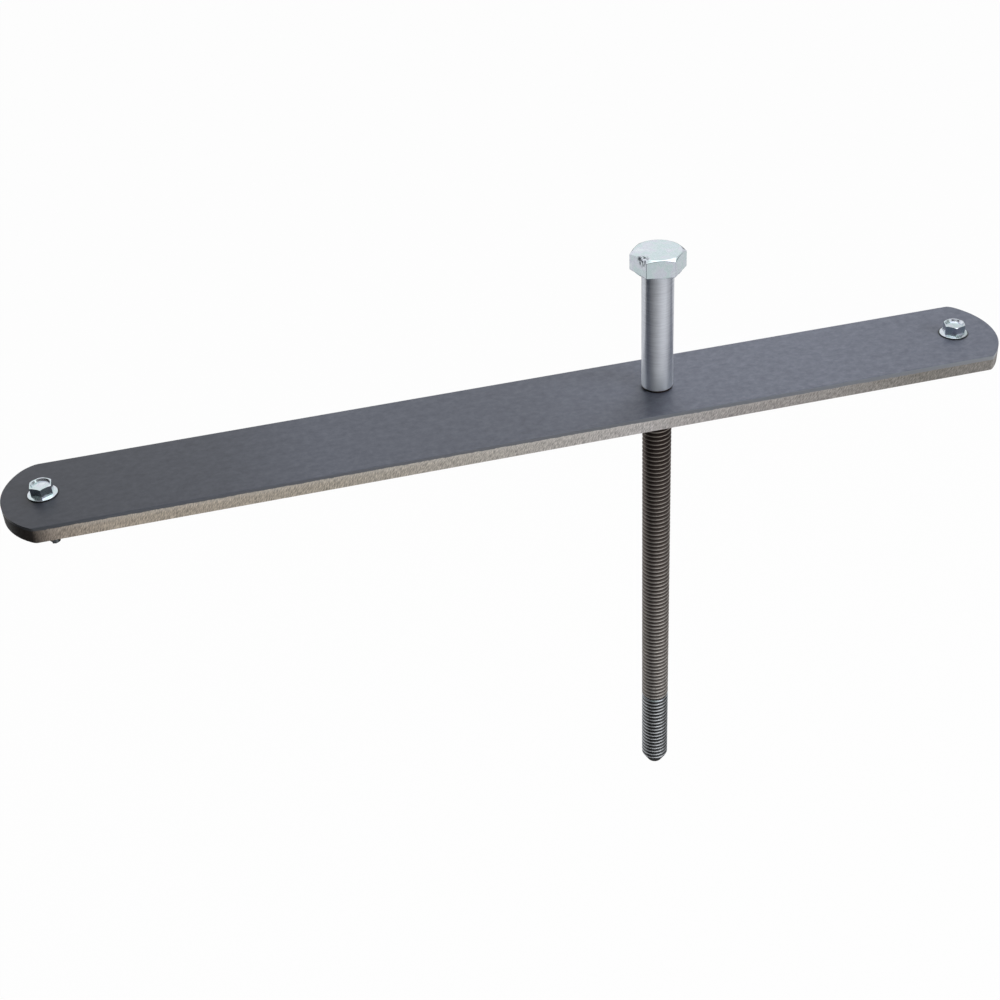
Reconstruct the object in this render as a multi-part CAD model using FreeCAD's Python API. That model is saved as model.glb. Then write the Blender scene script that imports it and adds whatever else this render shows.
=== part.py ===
import FreeCAD, Part
import math
import os

# Metal deck insert: a flat steel bar with round-nosed ends that lies across a ribbed
# steel deck, with a long hex bolt through it. The bolt is screwed into a tapped hole
# until its plain shank stops at the bar. Its head and shank stand up into the concrete
# slab, and its threaded length hangs below the deck for a nut or a rod coupling. Two
# hex washer head self-drilling screws, one near each end, fasten the bar to the deck.
#
# Threads are plain cylinders over their crests. Inside the bar, where two threads
# interlock, the screwed piece and its hole meet at the pitch diameter instead.
#
# Frame, in millimetres: the origin is the middle of the bar's underside, the face that
# lies on the deck. +X runs along the bar towards the bolt, +Y across it, +Z up.

# Bar: sheared flat strip, 1 3/4 in by 1/4 in
BAR_LENGTH = 399.5
BAR_WIDTH = 44.45
BAR_THICKNESS = 6.35
BAR_LEFT_NOSE_RADIUS = 27.0    # arc that the left end is cropped to, wider than a half round
BAR_RIGHT_NOSE_RADIUS = 31.0   # the right end is cropped a little flatter
BAR_RIGHT_NOSE_OFFSET = 1.3    # and its tip is this far behind the bar's middle line
BAR_LEFT_FRONT_CORNER = 3.0    # radii where the arcs meet the long sides
BAR_LEFT_BACK_CORNER = 14.0
BAR_RIGHT_FRONT_CORNER = 2.5
BAR_RIGHT_BACK_CORNER = 6.0
BAR_TOP_ROLL = 0.7             # roll-over that the shear leaves along both long top edges
BAR_BOTTOM_BREAK = 0.3         # broken corner along both long bottom edges

# Bolt: 1/2-13 hex bolt, 10 in under the head
BOLT_X = 54.85                 # the bolt's axis along the bar
BOLT_LENGTH = 254.0            # from under the head to the tip
BOLT_SHANK_LENGTH = 51.1       # plain shank between the head and the bar
BOLT_SHANK_DIAMETER = 12.4
BOLT_THREAD_DIAMETER = 11.8    # over the crests of the cut thread
BOLT_PITCH_DIAMETER = 10.8     # of the same thread, halfway down its flanks
BOLT_RUN_OUT = 0.8             # taper from the shank down to the thread
BOLT_TIP_LENGTH = 4.4          # long cone at the end of the thread
BOLT_TIP_DIAMETER = 6.6
BOLT_HEAD_FLATS = 18.8         # across flats
BOLT_HEAD_HEIGHT = 7.7         # washer face included
BOLT_HEAD_TURN = -12.4         # degrees from +X to a corner of the hexagon
BOLT_CHAMFER_ANGLE = 30.0      # of the head's top corners, from the horizontal
BOLT_CHAMFER_DIAMETER = 18.0   # flat circle left on top of the head
BOLT_WASHER_FACE_HEIGHT = 0.4
BOLT_WASHER_FACE_INSET = 0.5   # washer face inside the flats, all round

# Threaded holes in the bar
HOLE_CLEARANCE = 0.1           # on diameter, where the two threads meet
HOLE_COUNTERSINK = 0.5         # at the underside, deep and wide
THREAD_START = 0.3             # free thread starts this far below the bar

# Deck screws: No. 12 self-drilling screws, 7/8 in under the head
SCREW_PLACES = {
    # name: (which end of the bar, distance in from it, length under the head,
    #        degrees from +X to a corner of its head)
    "deck_screw_left": (-1, 15.5, 22.8, 28.0),
    "deck_screw_right": (1, 16.8, 21.0, 15.0),
}
SCREW_THREAD_DIAMETER = 5.4
SCREW_PITCH_DIAMETER = 4.8
SCREW_FLANGE_DIAMETER = 11.2
SCREW_FLANGE_RIM = 0.5         # thickness of the flange at its rim
SCREW_FLANGE_RISE = 0.2        # the flange's cone rises by this much to the hexagon
SCREW_HEAD_FLATS = 7.9
SCREW_HEAD_HEIGHT = 4.55       # flange included
SCREW_HEAD_CORNER_BREAK = 0.25
SCREW_DISH_DIAMETER = 7.2      # hollow in the top of the head
SCREW_DISH_FLOOR_DIAMETER = 6.2
SCREW_DISH_DEPTH = 0.9
SCREW_DRILL_DIAMETER = 4.1
SCREW_DRILL_LENGTH = 6.0       # drill point and its tip
SCREW_DRILL_TAPER = 1.2        # cone from the thread down to the drill
SCREW_DRILL_TIP_ANGLE = 110.0
SCREW_FLUTE_RADIUS = 1.3
SCREW_FLUTE_OFFSET = 2.3       # from the screw's axis to the axis of a flute

Z_AXIS = FreeCAD.Vector(0, 0, 1)


def vector(x, y, z=0.0):
    return FreeCAD.Vector(x, y, z)


def turned(profile):
    """Solid of revolution about Z from (radius, height) points, in order."""
    points = [vector(radius, 0, height) for radius, height in profile]
    wire = Part.makePolygon(points + [points[0]])
    return Part.Face(wire).revolve(vector(0, 0, 0), Z_AXIS, 360)


def hexagon(across_flats, turn, bottom, height):
    """Upright hexagonal prism on the Z axis, with one corner turned from +X."""
    corner_radius = across_flats / math.sqrt(3)
    angles = [math.radians(turn + 60 * i) for i in range(6)]
    corners = [vector(corner_radius * math.cos(a), corner_radius * math.sin(a), bottom) for a in angles]
    outline = Part.makePolygon(corners + [corners[0]])
    return Part.Face(outline).extrude(vector(0, 0, height))


def moved(shape, x, y, z):
    shape.translate(vector(x, y, z))
    return shape


def bar_strip():
    """The strip as it is slit: rolled long edges on top, a small break below."""
    half = BAR_WIDTH / 2
    top = BAR_THICKNESS
    roll = BAR_TOP_ROLL
    bevel = BAR_BOTTOM_BREAK
    start = -BAR_LENGTH / 2
    mid = roll * (1 - math.sqrt(0.5))

    def at(y, z):
        return vector(start, y, z)

    def line(a, b):
        return Part.LineSegment(at(*a), at(*b)).toShape()

    def corner(a, b, c):
        return Part.Arc(at(*a), at(*b), at(*c)).toShape()

    edges = [
        line((-half + bevel, 0), (half - bevel, 0)),
        line((half - bevel, 0), (half, bevel)),
        line((half, bevel), (half, top - roll)),
        corner((half, top - roll), (half - mid, top - mid), (half - roll, top)),
        line((half - roll, top), (-half + roll, top)),
        corner((-half + roll, top), (-half + mid, top - mid), (-half, top - roll)),
        line((-half, top - roll), (-half, bevel)),
        line((-half, bevel), (-half + bevel, 0)),
    ]
    return Part.Face(Part.Wire(edges)).extrude(vector(BAR_LENGTH, 0, 0))


def nose(end, radius, offset):
    """Three points of the arc that crops one end: at the front side, its tip, the back side."""
    tip = end * BAR_LENGTH / 2
    half_width = BAR_WIDTH / 2
    nose_radius = max(radius, half_width + offset)

    def on_arc(y):
        return vector(tip - end * (nose_radius - math.sqrt(nose_radius ** 2 - (y - offset) ** 2)), y)

    return on_arc(-half_width), on_arc(offset), on_arc(half_width)


def rounded(prism, corner, radius):
    """Rounds the upright edge that stands on one corner of the bar's plan."""
    middle = corner + vector(0, 0, BAR_THICKNESS / 2)
    edge = min(prism.Edges, key=lambda candidate: (candidate.CenterOfMass - middle).Length)
    return prism.makeFillet(radius, [edge])


def bar_outline():
    """Prism of the bar's plan: straight sides between two arcs, its four corners rounded."""
    left_front, left_tip, left_back = nose(-1, BAR_LEFT_NOSE_RADIUS, 0.0)
    right_front, right_tip, right_back = nose(1, BAR_RIGHT_NOSE_RADIUS, BAR_RIGHT_NOSE_OFFSET)
    edges = [
        Part.LineSegment(left_front, right_front).toShape(),
        Part.Arc(right_front, right_tip, right_back).toShape(),
        Part.LineSegment(right_back, left_back).toShape(),
        Part.Arc(left_back, left_tip, left_front).toShape(),
    ]
    prism = Part.Face(Part.Wire(edges)).extrude(vector(0, 0, BAR_THICKNESS))
    prism = rounded(prism, left_front, BAR_LEFT_FRONT_CORNER)
    prism = rounded(prism, left_back, BAR_LEFT_BACK_CORNER)
    prism = rounded(prism, right_front, BAR_RIGHT_FRONT_CORNER)
    return rounded(prism, right_back, BAR_RIGHT_BACK_CORNER)


def threaded_hole(pitch_diameter):
    """Cutter at the thread's pitch diameter, with a countersink at the underside."""
    radius = (pitch_diameter + HOLE_CLEARANCE) / 2
    sink = HOLE_COUNTERSINK
    return turned([
        (0, -sink),
        (radius + 2 * sink, -sink),
        (radius, sink),
        (radius, BAR_THICKNESS + sink),
        (0, BAR_THICKNESS + sink),
    ])


def screw_place(end, inset):
    """Where a deck screw stands along the bar."""
    return end * (BAR_LENGTH / 2 - inset)


def bar():
    shape = bar_strip().common(bar_outline())
    shape = shape.cut(moved(threaded_hole(BOLT_PITCH_DIAMETER), BOLT_X, 0, 0))
    for end, inset, _, _ in SCREW_PLACES.values():
        screw_hole = threaded_hole(SCREW_PITCH_DIAMETER)
        shape = shape.cut(moved(screw_hole, screw_place(end, inset), 0, 0))
    return shape


def bolt_rod():
    """Shank, run-out, thread in the bar, free thread and tip cone, hanging from z = 0."""
    shank = BOLT_SHANK_DIAMETER / 2
    pitch = BOLT_PITCH_DIAMETER / 2
    thread = BOLT_THREAD_DIAMETER / 2
    below_bar = -BOLT_SHANK_LENGTH - BAR_THICKNESS - THREAD_START
    return turned([
        (0, 0),
        (shank, 0),
        (shank, -BOLT_SHANK_LENGTH + BOLT_RUN_OUT),
        (pitch, -BOLT_SHANK_LENGTH),
        (pitch, below_bar),
        (thread, below_bar),
        (thread, -BOLT_LENGTH + BOLT_TIP_LENGTH),
        (BOLT_TIP_DIAMETER / 2, -BOLT_LENGTH),
        (0, -BOLT_LENGTH),
    ])


def bolt_head():
    """Hexagon with a chamfered top, standing on its washer face at z = 0."""
    face_radius = BOLT_HEAD_FLATS / 2 - BOLT_WASHER_FACE_INSET
    face = Part.makeCylinder(face_radius, BOLT_WASHER_FACE_HEIGHT)
    hexagon_height = BOLT_HEAD_HEIGHT - BOLT_WASHER_FACE_HEIGHT
    block = hexagon(BOLT_HEAD_FLATS, BOLT_HEAD_TURN, BOLT_WASHER_FACE_HEIGHT, hexagon_height)
    slope = math.tan(math.radians(BOLT_CHAMFER_ANGLE))
    flat = BOLT_CHAMFER_DIAMETER / 2
    rim = BOLT_HEAD_FLATS          # well outside the corners
    cone = turned([
        (0, 0),
        (rim, 0),
        (rim, BOLT_HEAD_HEIGHT - (rim - flat) * slope),
        (flat, BOLT_HEAD_HEIGHT),
        (0, BOLT_HEAD_HEIGHT),
    ])
    return face.fuse(block.common(cone))


def bolt():
    shape = bolt_head().fuse(bolt_rod()).removeSplitter()
    return moved(shape, BOLT_X, 0, BAR_THICKNESS + BOLT_SHANK_LENGTH)


def screw_head(turn):
    """Washer flange with a hexagon on it, hollowed at the top, standing on z = 0."""
    flange = SCREW_FLANGE_DIAMETER / 2
    flats = SCREW_HEAD_FLATS / 2
    flange_top = SCREW_FLANGE_RIM + SCREW_FLANGE_RISE
    washer = turned([
        (0, 0),
        (flange, 0),
        (flange, SCREW_FLANGE_RIM),
        (flats, flange_top),
        (0, flange_top),
    ])
    block = hexagon(SCREW_HEAD_FLATS, turn, SCREW_FLANGE_RIM, SCREW_HEAD_HEIGHT - SCREW_FLANGE_RIM)
    corner = SCREW_HEAD_FLATS / math.sqrt(3)
    top_break = SCREW_HEAD_CORNER_BREAK
    crown = turned([
        (0, 0),
        (corner, 0),
        (corner, SCREW_HEAD_HEIGHT - top_break),
        (corner - 2 * top_break, SCREW_HEAD_HEIGHT),
        (0, SCREW_HEAD_HEIGHT),
    ])
    dish = turned([
        (0, SCREW_HEAD_HEIGHT - SCREW_DISH_DEPTH),
        (SCREW_DISH_FLOOR_DIAMETER / 2, SCREW_HEAD_HEIGHT - SCREW_DISH_DEPTH),
        (SCREW_DISH_DIAMETER / 2, SCREW_HEAD_HEIGHT),
        (0, SCREW_HEAD_HEIGHT),
    ])
    return washer.fuse(block.common(crown)).cut(dish)


def screw_shank(length):
    """Thread in the bar, free thread and drill point with its two flutes, below z = 0."""
    pitch = SCREW_PITCH_DIAMETER / 2
    thread = SCREW_THREAD_DIAMETER / 2
    below_bar = -BAR_THICKNESS - THREAD_START
    drill = SCREW_DRILL_DIAMETER / 2
    shoulder = -length + SCREW_DRILL_LENGTH
    tip = drill / math.tan(math.radians(SCREW_DRILL_TIP_ANGLE / 2))
    shank = turned([
        (0, 0),
        (pitch, 0),
        (pitch, below_bar),
        (thread, below_bar),
        (thread, shoulder + SCREW_DRILL_TAPER),
        (drill, shoulder),
        (drill, -length + tip),
        (0, -length),
    ])
    for side in (-1, 1):
        start = vector(side * SCREW_FLUTE_OFFSET, 0, -length)
        flute = Part.makeCylinder(SCREW_FLUTE_RADIUS, SCREW_DRILL_LENGTH, start)
        run_out = Part.makeSphere(SCREW_FLUTE_RADIUS, start + vector(0, 0, SCREW_DRILL_LENGTH))
        shank = shank.cut(flute.fuse(run_out))
    return shank


def deck_screw(end, inset, length, turn):
    shape = screw_head(turn).fuse(screw_shank(length)).removeSplitter()
    return moved(shape, screw_place(end, inset), 0, BAR_THICKNESS)


def export(name, shape):
    if not shape.isValid() or len(shape.Solids) != 1:
        raise ValueError(name + " is not one valid solid")
    shape.Solids[0].exportStep("parts/" + name + ".step")


os.makedirs("parts", exist_ok=True)
export("bar", bar())
export("hanger_bolt", bolt())
for screw, placing in SCREW_PLACES.items():
    export(screw, deck_screw(*placing))
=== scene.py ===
import math

import bpy
from mathutils import Matrix, Vector


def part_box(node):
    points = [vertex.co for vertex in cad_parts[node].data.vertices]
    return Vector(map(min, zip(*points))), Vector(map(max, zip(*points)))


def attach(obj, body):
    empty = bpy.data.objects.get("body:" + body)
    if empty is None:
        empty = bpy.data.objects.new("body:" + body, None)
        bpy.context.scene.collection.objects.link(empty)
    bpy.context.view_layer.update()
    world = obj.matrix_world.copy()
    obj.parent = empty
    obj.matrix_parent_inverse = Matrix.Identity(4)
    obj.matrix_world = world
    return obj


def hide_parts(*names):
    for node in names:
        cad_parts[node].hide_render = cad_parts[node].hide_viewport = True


# Metal deck insert: a dark flat steel bar with a long zinc plated bolt screwed through it
# and a self-drilling screw at each end. Lengths are millimetres unless a comment says
# metres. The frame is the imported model's: the origin is the middle of the bar's underside,
# +X runs along the bar towards the bolt and +Z points up.

MM = 0.001                   # one millimetre in metres
SAME_POINT = 1e-6            # metres, up to which two points are merged
TOOL_REACH = 5.0             # that a cutting tool runs past what it cuts
GAP = 0.01                   # between surfaces that would otherwise lie in each other
OVERLAP = 0.2                # of two forms of one piece, where they are joined
SMOOTH_ANGLE = 32.0          # degrees, up to which faces side by side are shaded as one

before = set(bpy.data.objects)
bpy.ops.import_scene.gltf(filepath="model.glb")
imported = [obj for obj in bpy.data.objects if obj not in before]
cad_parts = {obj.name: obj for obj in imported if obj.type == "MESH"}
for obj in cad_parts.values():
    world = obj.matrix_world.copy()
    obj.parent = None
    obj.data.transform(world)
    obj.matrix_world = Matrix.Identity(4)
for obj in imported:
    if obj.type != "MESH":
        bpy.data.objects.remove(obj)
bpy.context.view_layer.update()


def box_mm(node):
    """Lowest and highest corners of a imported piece, in millimetres."""
    low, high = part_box(node)
    return low / MM, high / MM


# Bar
bar_low, bar_high = box_mm("bar")
BAR_LENGTH = bar_high.x - bar_low.x
BAR_WIDTH = bar_high.y - bar_low.y
BAR_TOP = bar_high.z
BAR_LEFT_NOSE_RADIUS = 27.0
BAR_RIGHT_NOSE_RADIUS = 31.0
BAR_RIGHT_NOSE_OFFSET = 1.3  # its tip is this far behind the bar's middle line
BAR_LEFT_FRONT_CORNER = 3.0  # radii where the noses meet the long sides
BAR_LEFT_BACK_CORNER = 14.0
BAR_RIGHT_FRONT_CORNER = 2.5
BAR_RIGHT_BACK_CORNER = 6.0
BAR_ROLL = 0.7               # roll-over that the shear leaves along the long top edges
BAR_EDGE_BREAK = 0.15        # every other edge is only knocked off
BAR_HOLE_CLEARANCE = 0.1     # on radius, round a thread's crests
BAR_SCALE_END = 1.25         # below the top, where the mill scale gives way to the torn wall
BAR_SCALE_END_DROP = 0.45    # and that much lower towards the right end
BAR_SCALE_WANDER = 0.15      # up and down, of that line
BAR_SCALE_FADE = 0.1         # above and below that line
BAR_BURNISH = 1.8            # below the top, down to which the wall is burnished
BAR_BURNISH_END = 3.2        # below the top, where the burnish has faded

# Bolt
bolt_low, bolt_high = box_mm("hanger_bolt")
BOLT_X = (bolt_low.x + bolt_high.x) / 2
BOLT_TIP = bolt_low.z
BOLT_TOP = bolt_high.z
BOLT_HEAD_HEIGHT = 7.7
BOLT_HEAD_FLATS = 18.8
BOLT_HEAD_TURN = -12.4       # degrees from +X to a corner of the hexagon
BOLT_HEAD_EDGE_BREAK = 0.22
BOLT_CHAMFER_ANGLE = 30.0    # degrees
BOLT_CHAMFER_DIAMETER = 18.0
BOLT_WASHER_FACE_HEIGHT = 0.4
BOLT_WASHER_FACE_DIAMETER = 18.5
BOLT_WASHER_FACE_BREAK = 0.1
BOLT_SCUFF_ANGLE = -148.0    # degrees from +X to the place where the head's plate is chipped
BOLT_SCUFF_RADIUS = 9.6      # from the bolt's axis to that place
BOLT_SCUFF_DROP = 0.4        # below the head's top
BOLT_SCUFF_REACH = 1.6       # chips all over up to here, and none from twice as far
BOLT_SHANK_DIAMETER = 12.4
BOLT_PAINTED_HIGHLIGHT_FULL = 3.0             # above the bar, up to which the shank's colour is painted palest, a painted highlight
BOLT_PAINTED_HIGHLIGHT_END = 16.0        # above the bar, where that has faded
BOLT_RUN_OUT = 0.9           # above the bar, where the shank has its full width
BOLT_RUN_OUT_DIAMETER = 10.6
BOLT_NECK_TOP = 0.1          # above the bar, where the run-out starts
BOLT_NECK_BOTTOM = 0.3       # below the bar's top
BOLT_CORE_BOTTOM = 2.0       # below the bar's top, inside the thread
BOLT_THREAD_DIAMETER = 11.8
BOLT_THREAD_TOP = 1.0        # below the bar's top
BOLT_TIP_DIAMETER = 6.6
BOLT_TIP_LENGTH = 4.4
BOLT_PITCH = 25.4 / 13       # 13 threads to the inch
BOLT_THREAD_DEPTH = 1.05
BOLT_CREST_WIDTH = 0.28
BOLT_ROOT_WIDTH = 0.4
BOLT_DARK_THREAD_END = -20.0         # height above which the cut thread has its darker tone
BOLT_PALE_THREAD_START = -140.0    # height below which it has its paler tone
BOLT_ROLLED_LENGTH = 40.2    # thread that the bolt was bought with, at its tip
BOLT_LAST_TURN_ABOVE = 0.3   # filled turn where the cut thread meets the rolled one
BOLT_LAST_TURN_BELOW = 0.5
BOLT_LAST_TURN_DEPTH = 0.3   # from the crests down to its sides
BOLT_LAST_TURN_BREAK = 0.15

# Deck screws
SCREW_TURNS = {"deck_screw_left": 28.0, "deck_screw_right": 15.0}  # degrees from +X to a corner
SCREW_FLANGE_DIAMETER = 11.2
SCREW_FLANGE_RIM = 0.5
SCREW_FLANGE_RISE = 0.2
SCREW_FLANGE_FOOT_BREAK = 0.15
SCREW_EDGE_BREAK = 0.12      # of every other edge of the head
SCREW_HEAD_FLATS = 7.9
SCREW_HEAD_HEIGHT = 4.55
SCREW_HEAD_CORNER_BREAK = 0.25
SCREW_DISH_DIAMETER = 7.2
SCREW_DISH_FLOOR_DIAMETER = 6.2
SCREW_DISH_DEPTH = 0.9
SCREW_THREAD_DIAMETER = 5.4
SCREW_THREAD_DEPTH = 0.6
SCREW_THREAD_START = 1.2     # above the drill point, where the crests have their full width
SCREW_THREAD_END = 0.5       # below the top of the drill point
SCREW_PITCH = 25.4 / 14      # 14 threads to the inch
SCREW_CREST_WIDTH = 0.2
SCREW_ROOT_WIDTH = 0.7
SCREW_DRILL_DIAMETER = 4.1
SCREW_DRILL_LENGTH = 6.0
SCREW_DRILL_TIP_ANGLE = 110.0  # degrees
SCREW_DRILL_TIP_RADIUS = 0.05
SCREW_FLUTE_RADIUS = 1.3
SCREW_FLUTE_OFFSET = 2.3
SCREW_FLUTE_RUN_OUT = 1.0    # over which a flute ends below the shank
SCREW_PAINTED_SHADE_HEIGHT = 0.35    # above the bar, up to which the flange's rim is painted dark as contact shadow
SCREW_PAINTED_SHADE_WIDTH = 0.8      # of the dark ring painted on the bar round a flange, a painted contact shadow

# Camera, fitted to the photograph
CAMERA_PLACE = (-0.11822, -0.49744, 0.31714)   # metres
CAMERA_HEADING = -12.08                        # degrees about +Z from looking along +Y
CAMERA_DOWN = 34.65                            # degrees below the horizon
CAMERA_ROLL = -3.64                            # degrees about the view
CAMERA_LENS = 55.02                            # on a 36 mm wide sensor

CARD_RING_RADIUS = 0.6       # metres, of the shaded cards that stand round the bolt


# Tools for modelling

def only(piece):
    """Selects one piece and nothing else."""
    bpy.ops.object.select_all(action="DESELECT")
    piece.select_set(True)
    bpy.context.view_layer.objects.active = piece


def named(name):
    """Names the piece that was just added, and its mesh."""
    piece = bpy.context.object
    piece.name = name
    piece.data.name = name
    return piece


def settle(piece):
    """Puts a piece's place into its mesh, so that the object stands at the origin."""
    only(piece)
    bpy.ops.object.transform_apply(location=True, rotation=True, scale=True)


def move(piece, x, y, z, turn=0.0):
    """Turns a piece about its own Z axis, in degrees, then moves it."""
    piece.rotation_euler = (0, 0, math.radians(turn))
    piece.location = (x * MM, y * MM, z * MM)
    settle(piece)
    return piece


def edit(piece):
    """Opens a piece in edit mode."""
    only(piece)
    bpy.ops.object.mode_set(mode="EDIT")


def leave():
    """Goes back to object mode."""
    bpy.ops.object.mode_set(mode="OBJECT")


def close_shape():
    """Points all faces of the open piece outwards, and leaves it."""
    bpy.ops.mesh.select_all(action="SELECT")
    bpy.ops.mesh.normals_make_consistent(inside=False)
    leave()


def modify(piece, kind, **settings):
    """Adds a modifier, sets it and applies it."""
    only(piece)
    modifier = piece.modifiers.new(kind.lower(), kind)
    for setting, value in settings.items():
        setattr(modifier, setting, value)
    bpy.ops.object.modifier_apply(modifier=modifier.name)


def cut(piece, tool, operation):
    """Joins, cuts or trims a piece by another, which is used up. Where edges cross in one
    point, that leaves double points, and they would spoil the next cut."""
    modify(piece, "BOOLEAN", object=tool, operation=operation, solver="EXACT")
    bpy.data.objects.remove(tool)
    edit(piece)
    bpy.ops.mesh.select_all(action="SELECT")
    bpy.ops.mesh.remove_doubles(threshold=SAME_POINT)
    leave()
    return piece


def start_outline(name):
    """A new piece of one point at the origin, selected and open in edit mode."""
    bpy.ops.object.select_all(action="DESELECT")
    bpy.ops.mesh.primitive_plane_add(size=MM)
    piece = named(name)
    edit(piece)
    bpy.ops.mesh.select_mode(type="VERT")
    bpy.ops.mesh.select_all(action="SELECT")
    bpy.ops.mesh.merge(type="CENTER")
    return piece


def turned(name, profile, sides=96):
    """A piece turned on a lathe, from (radius, height) points in millimetres, bottom first."""
    radius, height = profile[0]
    bpy.ops.object.select_all(action="DESELECT")
    bpy.ops.mesh.primitive_circle_add(
        vertices=sides, radius=radius * MM, fill_type="NGON", location=(0, 0, height * MM)
    )
    piece = named(name)
    settle(piece)
    edit(piece)
    bpy.ops.mesh.select_all(action="SELECT")
    for new_radius, new_height in profile[1:]:
        rise = (new_height - height) * MM
        scale = new_radius / radius
        bpy.ops.mesh.extrude_region_move(TRANSFORM_OT_translate={"value": (0, 0, rise)})
        bpy.ops.transform.resize(value=(scale, scale, 1), center_override=(0, 0, new_height * MM))
        radius, height = new_radius, new_height
    close_shape()
    return piece


def hexagon(name, across_flats, bottom, top):
    """A hexagonal prism with one corner at +X."""
    bpy.ops.object.select_all(action="DESELECT")
    bpy.ops.mesh.primitive_cylinder_add(
        vertices=6,
        radius=across_flats / math.sqrt(3) * MM,
        depth=(top - bottom) * MM,
        location=(0, 0, (top + bottom) / 2 * MM),
        rotation=(0, 0, math.radians(30)),  # from a corner at +Y to one at +X
    )
    piece = named(name)
    settle(piece)
    return piece


def thread(name, radius, depth, pitch, crest, root, bottom, top, steps=48):
    """A right-hand screw thread between two heights, closed flat at both ends."""
    flank = (pitch - crest - root) / 2
    profile = [
        (radius - depth, 0),
        (radius - depth, root),
        (radius, root + flank),
        (radius, root + flank + crest),
        (radius - depth, pitch),
    ]
    turns = math.ceil((top - bottom) / pitch) + 2
    piece = start_outline(name)
    point = Vector((profile[0][0], 0, bottom - pitch))
    bpy.ops.transform.translate(value=point * MM)
    for point_radius, height in profile[1:]:
        step = Vector((point_radius, 0, bottom - pitch + height)) - point
        bpy.ops.mesh.extrude_vertices_move(TRANSFORM_OT_translate={"value": step * MM})
        point += step
    leave()
    modify(
        piece, "SCREW",
        axis="Z", angle=math.tau, screw_offset=pitch * MM, iterations=turns,
        steps=steps, render_steps=steps, use_merge_vertices=True, merge_threshold=SAME_POINT,
        use_normal_calculate=True,
    )
    edit(piece)
    bpy.ops.mesh.select_all(action="SELECT")
    bpy.ops.mesh.remove_doubles(threshold=SAME_POINT)
    bpy.ops.mesh.normals_make_consistent(inside=False)
    for height, outward in ((bottom, -1), (top, 1)):
        bpy.ops.mesh.select_all(action="SELECT")
        bpy.ops.mesh.bisect(
            plane_co=(0, 0, height * MM), plane_no=(0, 0, outward),
            use_fill=True, clear_outer=True,
        )
    close_shape()
    return piece


def finish_piece(piece, node, materials, pick):
    """Gives a piece its materials by face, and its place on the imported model. The number of a
    face's material comes from pick, which is given the face's middle in millimetres."""
    for material in materials:
        piece.data.materials.append(material)
    for face in piece.data.polygons:
        face.material_index = pick(face.center / MM)
    only(piece)
    bpy.ops.object.shade_smooth_by_angle(angle=math.radians(SMOOTH_ANGLE))
    modify(piece, "WEIGHTED_NORMAL", keep_sharp=True)
    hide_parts(node)
    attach(piece, "root")


# Tools for materials

def srgb(code):
    """Linear colour of an sRGB hex code such as 8a8f96."""
    parts = [int(code[i:i + 2], 16) / 255 for i in (0, 2, 4)]
    linear = [c / 12.92 if c <= 0.04045 else ((c + 0.055) / 1.055) ** 2.4 for c in parts]
    return (*linear, 1.0)


def add(tree, kind, inputs=(), stops=(), **settings):
    """Adds a node with its settings, its colour stops and its inputs.

    An input is a plain value, another node's output, or another node for its first output.
    """
    node = tree.nodes.new(kind)
    for setting, value in settings.items():
        setattr(node, setting, value)
    for key, value in dict(inputs).items():
        if isinstance(value, bpy.types.Node):
            value = value.outputs[0]
        if isinstance(value, bpy.types.NodeSocket):
            tree.links.new(value, node.inputs[key])
        else:
            node.inputs[key].default_value = value
    for index, (position, colour) in enumerate(stops):
        elements = node.color_ramp.elements
        stop = elements[index] if index < len(elements) else elements.new(position)
        stop.position = position
        stop.color = srgb(colour)
    return node


def new_tree(name):
    """An empty material and its node tree."""
    material = bpy.data.materials.new(name)
    material.use_nodes = True
    material.node_tree.nodes.clear()
    return material, material.node_tree


# Materials

# Every pattern lies on object coordinates in metres, so a scale of 1 / (3 * MM) gives it
# features of 3 millimetres.

def away_from_axis(tree, where, x):
    """How far a point lies from the upright line at x, all in metres."""
    flattened = add(
        tree, "ShaderNodeMapping", {"Vector": where, "Location": (-x, 0, 0), "Scale": (1, 1, 0)},
    )
    return add(tree, "ShaderNodeVectorMath", {0: flattened}, operation="LENGTH").outputs["Value"]


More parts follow.
